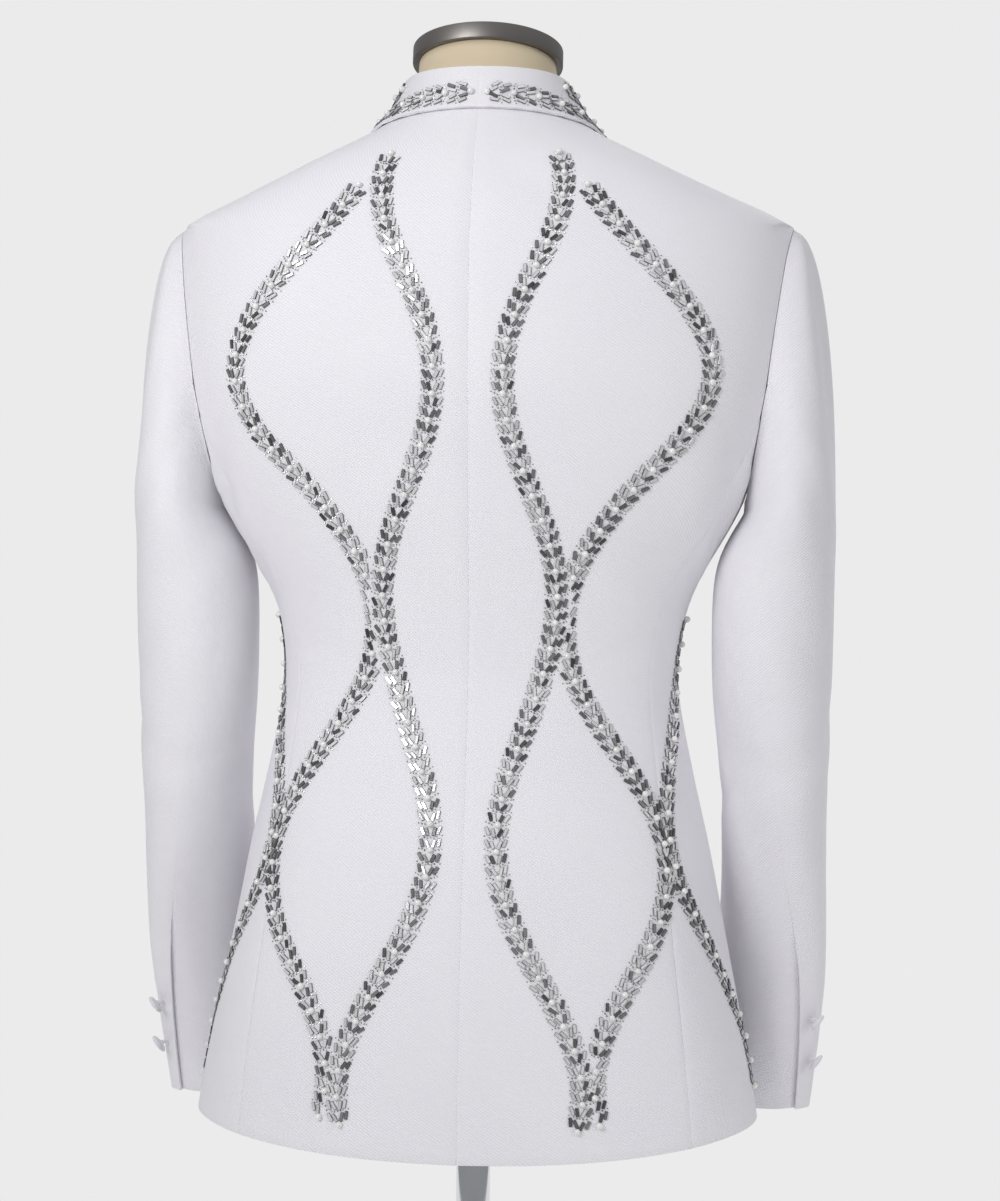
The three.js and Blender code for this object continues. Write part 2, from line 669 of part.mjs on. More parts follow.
// Smooth limbless torso clear of the cloth, with flat plates at the armholes and a round neck
function formTorso() {
  const segments = 28;
  const heights = [
    formBottomZ, 380, 430, 480, 530, 570, 610, 645, 675, 700, 730, 765, 800, 840, 875, 898, 912,
    925, 938, 952, 966, 980, 994, 1008, 1020,
  ];
  const rings = heights.map((z) => (turn) => {
    const shoulder = ease((z - formShoulderFade.z) / formShoulderFade.height);
    const neck = ease((z - formNeckFade.z) / formNeckFade.height);
    const inset = mix(mix(formClearance, formShoulderClearance, shoulder), formNeckClearance, neck);
    const point = bodyPoint(turn, z, -inset);
    point.x = Math.min(Math.max(point.x, -formShoulderX), formShoulderX);
    return z === formBottomZ ? point.setZ(z) : point;
  });
  rings.push((turn) => {
    const x = formNeckRadius * Math.cos(turn);
    const y = formNeckY + formNeckRadius * Math.sin(turn);
    return new THREE.Vector3(x, y, formNeckTopZ + y * Math.tan(neckTilt));
  });
  const positions = [];
  const faces = [];
  rings.forEach((ring) => {
    for (let place = 0; place < segments; place += 1) {
      positions.push(...ring((place / segments) * 2 * Math.PI).toArray());
    }
  });
  const index = (ring, place) => ring * segments + (place % segments);
  for (let ring = 0; ring < rings.length - 1; ring += 1) {
    for (let place = 0; place < segments; place += 1) {
      const [a, b] = [index(ring, place), index(ring, place + 1)];
      const [c, d] = [index(ring + 1, place + 1), index(ring + 1, place)];
      faces.push(a, b, c, a, c, d);
    }
  }
  const bottom = positions.length / 3;
  positions.push(0, 0, formBottomZ);
  positions.push(0, formNeckY, formNeckTopZ + formNeckY * Math.tan(neckTilt));
  for (let place = 0; place < segments; place += 1) {
    faces.push(index(0, place + 1), index(0, place), bottom);
    faces.push(index(rings.length - 1, place), index(rings.length - 1, place + 1), bottom + 1);
  }
  return meshFromFaces(positions, faces);
}

function neckCap() {
  const bevel = 1.5;
  const profile = [
    [0, 0], [capRadius - bevel, 0], [capRadius, bevel], [capRadius, capHeight - bevel],
    [capRadius - bevel, capHeight], [0, capHeight],
  ];
  const mesh = new THREE.Mesh(closedLathe(profile, 32), materials.cap);
  mesh.position.set(0, formNeckY, formNeckTopZ + formNeckY * Math.tan(neckTilt) + seamGap);
  mesh.rotation.x = neckTilt;
  return mesh;
}

function basePlate() {
  const rim = 3;
  const socket = poleRadius + seamGap;
  const profile = [
    [0, 0], [baseRadius - rim, 0], [baseRadius, rim], [baseRadius, baseHeight - rim],
    [baseRadius - rim, baseHeight], [hubRadius, baseHeight + 3], [hubRadius - 4, hubHeight - 3],
    [hubRadius - 7, hubHeight], [socket, hubHeight], [socket, baseHeight], [0, baseHeight],
  ];
  return new THREE.Mesh(closedLathe(profile, 40), materials.chrome);
}

function pole() {
  const bottom = baseHeight + seamGap;
  const top = formBottomZ - seamGap;
  const profile = [[0, bottom], [poleRadius, bottom], [poleRadius, top], [0, top]];
  return new THREE.Mesh(closedLathe(profile, 20), materials.chrome);
}

function named(name, mesh) {
  mesh.name = name;
  return mesh;
}

function jacket() {
  const group = new THREE.Group();
  const cloth = (name, geometry) => group.add(named(name, new THREE.Mesh(geometry, materials.cloth)));
  for (const [word, side] of [['left', 1], ['right', -1]]) {
    cloth(`back_${word}`, backPanel(side));
    cloth(`side_${word}`, sidePanel(side));
    cloth(`front_${word}`, frontPanel(side));
    cloth(`shawl_${word}`, shawlCollar(side));
    cloth(`upper_sleeve_${word}`, upperSleeve(side));
    cloth(`under_sleeve_${word}`, underSleeve(side));
    sleeveButtonZ.forEach((z, place) => {
      group.add(named(`sleeve_button_${word}_${place + 1}`, sleeveButton(side, z)));
    });
  }
  cloth('collar_stand', collarStand());
  group.add(named('front_button', frontButton()));
  return group;
}

function dressForm() {
  const group = new THREE.Group();
  group.add(named('form_torso', new THREE.Mesh(formTorso(), materials.form)));
  group.add(named('neck_cap', neckCap()));
  return group;
}

const part = new THREE.Group();
const dressed = new THREE.Group();
dressed.position.y = jacketShiftY;
dressed.add(jacket(), dressForm());
part.add(dressed, named('pole', pole()), named('base_plate', basePlate()));

export default part;
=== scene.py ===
# White beaded dinner jacket on a dress form. Sizes are metres, apart from the tables of creases and
# the bead motif, which are millimetres.
import bpy
import bmesh
import math
import numpy as np
from mathutils import Euler, Matrix, Vector
from mathutils.bvhtree import BVHTree
from mathutils.kdtree import KDTree


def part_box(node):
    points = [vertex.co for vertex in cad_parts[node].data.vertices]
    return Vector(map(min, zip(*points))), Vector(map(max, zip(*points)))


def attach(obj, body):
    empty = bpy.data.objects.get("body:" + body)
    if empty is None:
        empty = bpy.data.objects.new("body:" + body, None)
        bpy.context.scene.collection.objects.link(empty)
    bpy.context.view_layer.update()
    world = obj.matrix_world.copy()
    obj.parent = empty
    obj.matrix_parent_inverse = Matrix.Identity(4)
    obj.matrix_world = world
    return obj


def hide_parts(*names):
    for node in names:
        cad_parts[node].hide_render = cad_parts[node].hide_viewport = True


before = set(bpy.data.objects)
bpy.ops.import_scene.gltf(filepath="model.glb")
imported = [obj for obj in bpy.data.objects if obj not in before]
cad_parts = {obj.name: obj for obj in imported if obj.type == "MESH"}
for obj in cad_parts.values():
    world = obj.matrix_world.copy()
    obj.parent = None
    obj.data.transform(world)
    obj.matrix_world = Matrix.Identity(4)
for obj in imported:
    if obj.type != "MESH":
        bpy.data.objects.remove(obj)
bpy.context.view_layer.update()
mm = 0.001
jacketY = -0.016  # the jacket's own middle lies this far forward of the pole


# Materials
def newGroup(name, inputs, outputs):
    group = bpy.data.node_groups.new(name, "ShaderNodeTree")
    for socketName, kind, value in inputs:
        socket = group.interface.new_socket(socketName, in_out="INPUT", socket_type=kind)
        if value is not None:
            socket.default_value = value
    for socketName, kind in outputs:
        group.interface.new_socket(socketName, in_out="OUTPUT", socket_type=kind)
    return group, group.nodes.new("NodeGroupInput"), group.nodes.new("NodeGroupOutput")


def linkInputs(tree, node, links):
    for socket, source in links.items():
        if isinstance(source, bpy.types.NodeSocket):
            tree.links.new(source, node.inputs[socket])
        else:
            node.inputs[socket].default_value = source


def addNode(tree, kind, links=None, **settings):
    node = tree.nodes.new(kind)
    for key, value in settings.items():
        setattr(node, key, value)
    linkInputs(tree, node, links or {})
    return node


def mathNode(tree, operation, first, second=0.0, third=None):
    links = {0: first, 1: second}
    if third is not None:
        links[2] = third
    return addNode(tree, "ShaderNodeMath", links, operation=operation).outputs[0]


# Small woven cells set on the diagonal, as height
def weaveGroup():
    group, source, result = newGroup(
        "diagonalWeave",
        [("Vector", "NodeSocketVector", None), ("Pitch", "NodeSocketFloat", 0.0018),
         ("Uneven", "NodeSocketFloat", 0.3)],
        [("Height", "NodeSocketFloat"), ("Shade", "NodeSocketFloat")],
    )
    parts = addNode(group, "ShaderNodeSeparateXYZ", {0: source.outputs["Vector"]})
    turns = mathNode(group, "DIVIDE", 2 * math.pi, source.outputs["Pitch"])
    wander = addNode(group, "ShaderNodeTexNoise",
                     {"Vector": source.outputs["Vector"], "Scale": 60.0, "Detail": 3.0})
    drift = mathNode(group, "MULTIPLY", wander.outputs[0], source.outputs["Uneven"])
    across = mathNode(group, "MULTIPLY", parts.outputs[0], turns)
    up = mathNode(group, "MULTIPLY", parts.outputs[1], turns)
    rising = mathNode(group, "ADD", mathNode(group, "ADD", across, up), drift)
    falling = mathNode(group, "SUBTRACT", across, up)
    ribs = mathNode(group, "SINE", rising)
    dots = mathNode(group, "SINE", falling)
    cells = mathNode(group, "MULTIPLY_ADD", mathNode(group, "MULTIPLY", ribs, dots), 0.35, ribs)
    height = mathNode(group, "MULTIPLY_ADD", cells, 0.37, 0.5)
    slub = addNode(group, "ShaderNodeTexNoise",
                   {"Vector": source.outputs["Vector"], "Scale": 900.0, "Detail": 2.0})
    mixed = mathNode(group, "MULTIPLY_ADD", slub.outputs[0], 0.25, height)
    group.links.new(mixed, result.inputs["Height"])
    group.links.new(height, result.inputs["Shade"])
    return group


# Slow changes of tone, as a mask
def driftGroup():
    group, source, result = newGroup(
        "softDrift",
        [("Vector", "NodeSocketVector", None), ("Scale", "NodeSocketFloat", 9.0)],
        [("Mask", "NodeSocketFloat")],
    )
    noise = addNode(group, "ShaderNodeTexNoise",
                    {"Vector": source.outputs["Vector"], "Scale": source.outputs["Scale"],
                     "Detail": 4.0, "Roughness": 0.55})
    group.links.new(noise.outputs[0], result.inputs["Mask"])
    return group


shared = {"weave": weaveGroup(), "drift": driftGroup()}


def newMaterial(name, color, **values):
    material = bpy.data.materials.new(name)
    material.use_nodes = True
    material.diffuse_color = (*color, 1)
    shader = material.node_tree.nodes["Principled BSDF"]
    shader.inputs["Base Color"].default_value = (*color, 1)
    for key, value in values.items():
        shader.inputs[key.replace("_", " ")].default_value = value
    return material, material.node_tree, shader


def placeGroup(tree, key, links):
    node = addNode(tree, "ShaderNodeGroup", node_tree=shared[key])
    linkInputs(tree, node, links)  # its sockets are there only once it has its group
    return node


def colorMix(tree, factor, first, second):
    # Sockets 6 and 7 are the mix's two colours, and output 2 its mixed one
    node = addNode(tree, "ShaderNodeMix", {0: factor, 6: (*first, 1), 7: (*second, 1)}, data_type="RGBA")
    return node.outputs[2]


jacketCloth = {
    "color": (0.91, 0.895, 0.93), "shade": (0.76, 0.745, 0.79), "pitch": 0.0022, "uneven": 0.5,
    "bump": 0.7, "bumpDepth": 0.0003, "roughness": 0.62,
    "driftScale": 7.0, "weaveTone": 0.55, "driftTone": 0.6,
}


def clothMaterial():
    values = jacketCloth
    material, tree, shader = newMaterial("jacketCloth", values["color"], Roughness=values["roughness"],
                                         Sheen_Weight=0.25, Sheen_Roughness=0.45, Specular_IOR_Level=0.35)
    uv = addNode(tree, "ShaderNodeUVMap", uv_map="clothUv")
    place = addNode(tree, "ShaderNodeTexCoord")
    weave = placeGroup(tree, "weave", {"Vector": uv.outputs[0], "Pitch": values["pitch"],
                                       "Uneven": values["uneven"]})
    drift = placeGroup(tree, "drift", {"Vector": place.outputs["Object"], "Scale": values["driftScale"]})
    slow = mathNode(tree, "MULTIPLY", drift.outputs[0], values["driftTone"])
    tone = mathNode(tree, "MULTIPLY_ADD", weave.outputs["Shade"], values["weaveTone"], slow)
    tree.links.new(colorMix(tree, tone, values["shade"], values["color"]), shader.inputs["Base Color"])
    bump = addNode(tree, "ShaderNodeBump", {"Strength": values["bump"], "Distance": values["bumpDepth"],
                                            "Height": weave.outputs["Height"]})
    tree.links.new(bump.outputs[0], shader.inputs["Normal"])
    return material


formCover = {"color": (0.74, 0.63, 0.45), "shade": (0.66, 0.55, 0.385), "pitch": 0.0011, "uneven": 0.4,
             "driftScale": 14.0, "bump": 0.3, "bumpDepth": 0.0002, "roughness": 0.85}


def formMaterial():
    values = formCover
    material, tree, shader = newMaterial("formCover", values["color"], Roughness=values["roughness"],
                                         Sheen_Weight=0.15)
    place = addNode(tree, "ShaderNodeTexCoord")
    weave = placeGroup(tree, "weave", {"Vector": place.outputs["Object"], "Pitch": values["pitch"],
                                       "Uneven": values["uneven"]})
    drift = placeGroup(tree, "drift", {"Vector": place.outputs["Object"], "Scale": values["driftScale"]})
    color = colorMix(tree, drift.outputs[0], values["shade"], values["color"])
    tree.links.new(color, shader.inputs["Base Color"])
    bump = addNode(tree, "ShaderNodeBump", {"Strength": values["bump"], "Distance": values["bumpDepth"],
                                            "Height": weave.outputs["Height"]})
    tree.links.new(bump.outputs[0], shader.inputs["Normal"])
    return material


def metalMaterial(name, color, roughness, brushed):
    material, tree, shader = newMaterial(name, color, Metallic=1.0, Roughness=roughness)
    place = addNode(tree, "ShaderNodeTexCoord")
    stretch = addNode(tree, "ShaderNodeMapping", {0: place.outputs["Object"]})
    stretch.inputs["Scale"].default_value = (1.0, 1.0, 40.0 if brushed else 1.0)
    drift = placeGroup(tree, "drift", {"Vector": stretch.outputs[0], "Scale": 30.0})
    rough = mathNode(tree, "MULTIPLY_ADD", drift.outputs[0], 0.16 if brushed else 0.05, roughness - 0.05)
    tree.links.new(rough, shader.inputs["Roughness"])
    return material


def beadMaterial(name, color, dark, metallic, roughness):
    material, tree, shader = newMaterial(name, color, Metallic=metallic, Roughness=roughness, Coat_Weight=0.6,
                                         Coat_Roughness=0.05)
    # The tone attribute carries each bead's random tone, painted shade on the sides of bugles and crystals,
    # and the dark bugles, which are partly painted reflection
    tone = addNode(tree, "ShaderNodeAttribute", attribute_name="tone")
    tree.links.new(colorMix(tree, tone.outputs["Fac"], dark, color), shader.inputs["Base Color"])
    return material


paint = {
    "cloth": clothMaterial(),
    "button": newMaterial("buttonSatin", (0.78, 0.765, 0.8), Roughness=0.38, Sheen_Weight=0.2)[0],
    "form": formMaterial(),
    "cap": metalMaterial("capMetal", (0.23, 0.215, 0.205), 0.4, True),
    "chrome": metalMaterial("standChrome", (0.78, 0.79, 0.81), 0.1, False),
    # Bugles mix a bright silver with a near-black tone; the near-black partly stands for painted reflection
    "bugle": beadMaterial("silverBugle", (0.93, 0.93, 0.94), (0.045, 0.045, 0.05), 0.4, 0.2),
    "pearl": beadMaterial("pearlBead", (0.9, 0.885, 0.86), (0.78, 0.77, 0.76), 0.0, 0.22),
    "crystal": beadMaterial("crystalBead", (0.9, 0.9, 0.92), (0.1, 0.1, 0.12), 0.5, 0.15),
}
print("materials ready")


# Cloth pieces: copies of the solids, finer and softly creased
sewing = {
    "sharpEdge": 50, "roundEdge": 45, "edgeRound": 0.0003, "levels": 2,
    "seamReach": 0.0016, "armholeGap": 0.0035, "closeShare": 0.51, "mostClose": 0.0016,
    "seamDip": 0.0004, "dipReach": 0.0045, "armholeReach": 0.006, "collarPress": 0.0013, "collarReach": 0.012,
    "weaveRadius": {"body": 0.135, "sleeve": 0.048}, "creaseRadius": {"body": 0.13, "sleeve": 0.05},
    "creaseBend": 0.0016,  # times the square of the way along a crease, in millimetres, is how far it curves
    "mergeReach": 0.00002, "joinFaceAngle": 40, "joinShapeAngle": 60,
    "edgeSamples": (0.0, 0.2, 0.4, 0.6, 0.8, 1.0),
}


def finish(piece, material):
    piece.data.materials.clear()
    piece.data.materials.append(material)
    piece.data.polygons.foreach_set("use_smooth", [True] * len(piece.data.polygons))
    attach(piece, "root")


def addPiece(name, shape):
    mesh = bpy.data.meshes.new(name)
    shape.to_mesh(mesh)
    shape.free()
    piece = bpy.data.objects.new(name, mesh)
    bpy.context.scene.collection.objects.link(piece)
    return piece


def copyNode(nodeName):
    shape = bmesh.new()
    shape.from_mesh(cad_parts[nodeName].data)
    bmesh.ops.remove_doubles(shape, verts=shape.verts, dist=sewing["mergeReach"])
    bmesh.ops.join_triangles(shape, faces=shape.faces,
                             angle_face_threshold=math.radians(sewing["joinFaceAngle"]),
                             angle_shape_threshold=math.radians(sewing["joinShapeAngle"]))
    return shape


# Marks the sharp edges, and the narrow faces between them that are a wall's rim
def creaseRims(shape, sharpAngle):
    crease = shape.edges.layers.float.new("crease_edge")
    cornerCrease = shape.verts.layers.float.new("crease_vert")
    sharp = set()
    for edge in shape.edges:
        if len(edge.link_faces) == 2 and edge.calc_face_angle(0.0) > math.radians(sharpAngle):
            edge[crease] = 1.0
            sharp.add(edge)
    for vert in shape.verts:
        if sum(edge in sharp for edge in vert.link_edges) > 2:
            vert[cornerCrease] = 1.0
    for face in shape.faces:
        marked = [edge for edge in face.edges if edge in sharp]
        apart = any(not set(one.verts) & set(two.verts) for one in marked for two in marked)
        face.material_index = 1 if len(face.verts) == 4 and apart else 0
    return sharp


def applyModifiers(piece):
    graph = bpy.context.evaluated_depsgraph_get()
    mesh = bpy.data.meshes.new_from_object(piece.evaluated_get(graph))
    piece.modifiers.clear()
    old = piece.data
    piece.data = mesh
    bpy.data.meshes.remove(old)


def subdivide(piece, levels):
    modifier = piece.modifiers.new("finer", "SUBSURF")
    modifier.levels = levels
    modifier.render_levels = levels
    modifier.use_limit_surface = False
    applyModifiers(piece)


def readValues(source, name, width, kind=np.float32):
    values = np.zeros(len(source) * width, kind)
    source.foreach_get(name, values)
    return values.reshape(-1, width) if width > 1 else values


def writePoints(mesh, points):
    mesh.vertices.foreach_set("co", points.astype(np.float32).ravel())
    mesh.update()


# Soft creases: middle of each, slope, half length, half width and depth, in degrees and millimetres
bodyCreases = [
    {"turn": 16, "z": 716, "slope": 74, "length": 36, "width": 5, "depth": 3.2},
    {"turn": 23, "z": 712, "slope": 68, "length": 46, "width": 6, "depth": -3.4},
    {"turn": 13, "z": 668, "slope": 62, "length": 20, "width": 5, "depth": 2.4},
    {"turn": 19, "z": 655, "slope": 55, "length": 26, "width": 6, "depth": -2.0},
    {"turn": 39, "z": 724, "slope": 60, "length": 70, "width": 12, "depth": 2.0},
    {"turn": 52, "z": 700, "slope": 50, "length": 60, "width": 14, "depth": -1.4},
    {"turn": 6, "z": 690, "slope": 86, "length": 34, "width": 20, "depth": 1.2},
    {"turn": 24, "z": 640, "slope": 12, "length": 34, "width": 8, "depth": -1.0},
    {"turn": 40, "z": 604, "slope": -6, "length": 46, "width": 9, "depth": -1.0},
    {"turn": 66, "z": 585, "slope": 4, "length": 50, "width": 10, "depth": -0.8},
    {"turn": 48, "z": 400, "slope": 84, "length": 120, "width": 24, "depth": 2.0},
    {"turn": 70, "z": 350, "slope": 92, "length": 110, "width": 26, "depth": -1.8},
    {"turn": 15, "z": 380, "slope": 95, "length": 110, "width": 22, "depth": -1.8},
    {"turn": 74, "z": 930, "slope": 42, "length": 44, "width": 13, "depth": -1.6},
    {"turn": -24, "z": 700, "slope": -58, "length": 60, "width": 11, "depth": -1.8},
    {"turn": -35, "z": 742, "slope": -60, "length": 60, "width": 12, "depth": 1.5},
    {"turn": -60, "z": 598, "slope": 8, "length": 60, "width": 9, "depth": -1.4},
    {"turn": -66, "z": 560, "slope": -16, "length": 52, "width": 10, "depth": -1.1},
    {"turn": -40, "z": 420, "slope": 88, "length": 110, "width": 22, "depth": 1.8},
]
sleeveCreases = [
    {"turn": 78, "z": 850, "slope": 88, "length": 66, "width": 8, "depth": 1.7},
    {"turn": 48, "z": 838, "slope": 84, "length": 74, "width": 12, "depth": -2.0},
    {"turn": 88, "z": 742, "slope": 62, "length": 46, "width": 9, "depth": -2.0},
    {"turn": 62, "z": 728, "slope": 48, "length": 60, "width": 14, "depth": 1.8},
    {"turn": 60, "z": 600, "slope": 28, "length": 45, "width": 10, "depth": -1.3},
    {"turn": 40, "z": 545, "slope": -30, "length": 50, "width": 11, "depth": -1.5},
    {"turn": 95, "z": 520, "slope": 20, "length": 40, "width": 10, "depth": -1.2},
    {"turn": -40, "z": 505, "slope": 14, "length": 42, "width": 9, "depth": -2.2},
    {"turn": -60, "z": 470, "slope": -18, "length": 46, "width": 10, "depth": -2.0},
    {"turn": -70, "z": 535, "slope": 30, "length": 40, "width": 9, "depth": -1.7},
    {"turn": 160, "z": 500, "slope": -12, "length": 40, "width": 10, "depth": -1.8},
    {"turn": 100, "z": 660, "slope": 60, "length": 66, "width": 13, "depth": -1.5},
    {"turn": 30, "z": 760, "slope": 80, "length": 80, "width": 17, "depth": -1.2},
    {"turn": 55, "z": 400, "slope": 74, "length": 90, "width": 16, "depth": 1.3},
]
sleeveLine = [  # middle of the sleeves at some heights
    {"z": 0.258, "x": 0.200, "y": -0.115}, {"z": 0.35, "x": 0.2135, "y": -0.094},
    {"z": 0.447, "x": 0.217, "y": -0.054}, {"z": 0.578, "x": 0.2137, "y": -0.025},
    {"z": 0.704, "x": 0.2254, "y": -0.021}, {"z": 0.914, "x": 0.226, "y": -0.016},
]


def creaseOffset(rows, turn, height, radius):
    total = np.zeros(len(turn))
    for row in rows:
        across = np.radians((turn - row["turn"] + 180) % 360 - 180) * radius * 1000
        up = height * 1000 - row["z"]
        slope = math.radians(row["slope"])
        along = across * math.cos(slope) + up * math.sin(slope)
        aside = up * math.cos(slope) - across * math.sin(slope)
        bend = aside - sewing["creaseBend"] * along ** 2 * np.sign(row["depth"])
        total += row["depth"] * np.exp(-(along / row["length"]) ** 2 - (bend / row["width"]) ** 2)
    return total * mm


# Heights where the sleeve heads and shoulders round over, how the body's oval is measured, and how
# points are looked for on its outside
figure = {"sleeveHead": 0.8, "shoulder": 0.86, "depthStretch": 1.7, "middleShare": 0.5, "outerFacing": 0.2,
          "castFrom": 0.5, "castReach": 0.6}


# Turn round the body or the sleeve, and the way outwards, for each point
def placeOnGarment(points, kind, side):
    if kind == "sleeve":
        levels = [row["z"] for row in sleeveLine]
        middleX = side * np.interp(points[:, 2], levels, [row["x"] for row in sleeveLine])
        middleY = np.interp(points[:, 2], levels, [row["y"] for row in sleeveLine])
        turn = np.degrees(np.arctan2(points[:, 1] - middleY, side * (points[:, 0] - middleX)))
        rise = np.maximum(points[:, 2] - figure["sleeveHead"], 0)
    else:
        middleX, middleY = points[:, 0] * figure["middleShare"], jacketY
        depth = (points[:, 1] - jacketY) * figure["depthStretch"]
        turn = np.degrees(np.arctan2(depth, np.abs(points[:, 0])))
        rise = np.maximum(points[:, 2] - figure["shoulder"], 0)
    outward = np.stack([points[:, 0] - middleX, points[:, 1] - middleY, rise], 1)
    return turn, outward


# One direction out of the cloth for both faces of the wall, and which points are on its rim
def wallNormals(mesh, outward):
    points = readValues(mesh.vertices, "co", 3).astype(float)
    loops = readValues(mesh.loops, "vertex_index", 1, np.int32)
    counts = readValues(mesh.polygons, "loop_total", 1, np.int32)
    owner = np.repeat(np.arange(len(counts)), counts)
    faceNormal = readValues(mesh.polygons, "normal", 3).astype(float)
    isRim = readValues(mesh.polygons, "material_index", 1, np.int32) == 1
    faceOut = np.zeros((len(counts), 3))
    np.add.at(faceOut, owner, outward[loops])
    sign = np.sign((faceOut * faceNormal).sum(1))
    wall = ~isRim[owner]
    normals = np.zeros_like(points)
    np.add.at(normals, loops[wall], (faceNormal * sign[:, None])[owner[wall]])
    rimNormals = np.zeros_like(points)
    np.add.at(rimNormals, loops[~wall], faceNormal[owner[~wall]])
    onRim = np.linalg.norm(rimNormals, axis=1) > 1e-9
    known = np.linalg.norm(normals, axis=1) > 1e-9
    tree = KDTree(int(known.sum()))
    knownPlaces = np.nonzero(known)[0]
    for place in knownPlaces:
        tree.insert(points[place], int(place))
    tree.balance()
    for place in np.nonzero(~known)[0]:
        normals[place] = normals[tree.find(points[place])[1]]
    normals /= np.maximum(np.linalg.norm(normals, axis=1, keepdims=True), 1e-9)
    rimNormals /= np.maximum(np.linalg.norm(rimNormals, axis=1, keepdims=True), 1e-9)
    return normals, rimNormals, onRim


def addClothUv(piece, turn, height, radius):
    layer = piece.data.uv_layers.new(name="clothUv")
    loops = readValues(piece.data.loops, "vertex_index", 1, np.int32)
    counts = readValues(piece.data.polygons, "loop_total", 1, np.int32)
    starts = readValues(piece.data.polygons, "loop_start", 1, np.int32)
    around = turn[loops]
    spread = np.maximum.reduceat(around, starts) - np.minimum.reduceat(around, starts)
    around = np.where(np.repeat(spread > 180, counts) & (around < 0), around + 360, around)
    values = np.stack([np.radians(around) * radius, height[loops]], 1).astype(np.float32)
    layer.data.foreach_set("uv", values.ravel())


# The two long rims of a strip's outer face, as lists of points: first the longer one
def longRims(sharp, kind, side):
    ahead = {}
    for edge in sharp:
        rims = [face for face in edge.link_faces if face.material_index == 1]
        walls = [face for face in edge.link_faces if face.material_index == 0]
        if len(rims) == 1 and len(walls) == 1:
            middle = np.array([walls[0].calc_center_median()])
            if walls[0].normal.dot(Vector(placeOnGarment(middle, kind, side)[1][0])) > 0:
                for one, two in (edge.verts, reversed(edge.verts)):
                    ahead.setdefault(one, []).append(two)
    corners = [vert for vert in ahead if sum(edge in sharp for edge in vert.link_edges) > 2]
    lines = []
    for corner in corners:
        for step in ahead[corner]:
            line = [corner, step]
            while line[-1] not in corners:
                line.append(next(vert for vert in ahead[line[-1]] if vert is not line[-2]))
            lines.append([vert.co.copy() for vert in line])
    lines.sort(key=lambda line: -sum((one - two).length for one, two in zip(line, line[1:])))
    return [line if line[0].z > line[-1].z else line[::-1] for line in (lines[0], lines[2])]


cloth, rims, clothKind = {}, {}, {}


def clothPiece(nodeName, kind, side):
    shape = copyNode(nodeName)
    sharp = creaseRims(shape, sewing["sharpEdge"])
    if nodeName.startswith("shawl"):
        rims[nodeName] = longRims(sharp, kind, side)
    piece = addPiece(nodeName + "_cloth", shape)
    subdivide(piece, sewing["levels"])
    cloth[nodeName], clothKind[nodeName] = piece, (kind, side)


for word, side in (("left", 1), ("right", -1)):
    for panel in ("back", "side", "front", "shawl"):
        clothPiece(f"{panel}_{word}", "body", side)
    for panel in ("upper_sleeve", "under_sleeve"):
        clothPiece(f"{panel}_{word}", "sleeve", side)
clothPiece("collar_stand", "body", 1)


# Which rim points lie at a seam with another piece, and how far each moves to close it
def seamPoints():
    found, places, samples, owners = [], [], [], []
    shapes = {}
    for name, piece in cloth.items():
        points = readValues(piece.data.vertices, "co", 3).astype(float)
        turn, outward = placeOnGarment(points, *clothKind[name])
        normals, rimNormals, onRim = wallNormals(piece.data, outward)
        shapes[name] = {"points": points, "turn": turn, "normals": normals, "rimNormals": rimNormals}
        for place in np.nonzero(onRim)[0]:
            found.append(points[place])
            places.append((name, int(place)))
        ends = readValues(piece.data.edges, "vertices", 2, np.int32)
        ends = ends[onRim[ends[:, 0]] & onRim[ends[:, 1]]]
        for share in sewing["edgeSamples"]:
            samples.extend(points[ends[:, 0]] * (1 - share) + points[ends[:, 1]] * share)
            owners.extend([name] * len(ends))
    tree = KDTree(len(samples))
    for number, point in enumerate(samples):
        tree.insert(point, number)
    tree.balance()
    for values in shapes.values():
        values["seam"] = np.zeros(len(values["points"]), bool)
        values["armhole"] = np.zeros(len(values["points"]), bool)
        values["close"] = np.zeros((len(values["points"]), 3))
    for number, point in enumerate(found):
        name, place = places[number]
        near = [hit for hit in tree.find_range(point, sewing["armholeGap"]) if owners[hit[1]] != name
                and (hit[2] < sewing["seamReach"] or clothKind[owners[hit[1]]][0] != clothKind[name][0])]
        if near:
            values = shapes[name]
            goal, partner, _ = min(near, key=lambda hit: hit[2])
            alongSeam = np.cross(values["rimNormals"][place], values["normals"][place])
            alongSeam /= max(np.linalg.norm(alongSeam), 1e-9)
            step = np.array(goal) - point
            step = (step - alongSeam * np.dot(step, alongSeam)) * sewing["closeShare"]
            values["seam"][place] = True
            values["armhole"][place] = clothKind[owners[partner]][0] != clothKind[name][0]
            values["close"][place] = step * min(1, sewing["mostClose"] / max(np.linalg.norm(step), 1e-9))
    return shapes


# How near each point is to some places, from 1 there to 0 far away
def nearness(points, places, reach):
    if len(places) == 0:
        return np.zeros(len(points))
    tree = KDTree(len(places))
    for number, place in enumerate(places):
        tree.insert(place, number)
    tree.balance()
    away = np.array([tree.find(point)[2] for point in points])
    return np.exp(-(away / reach) ** 2)


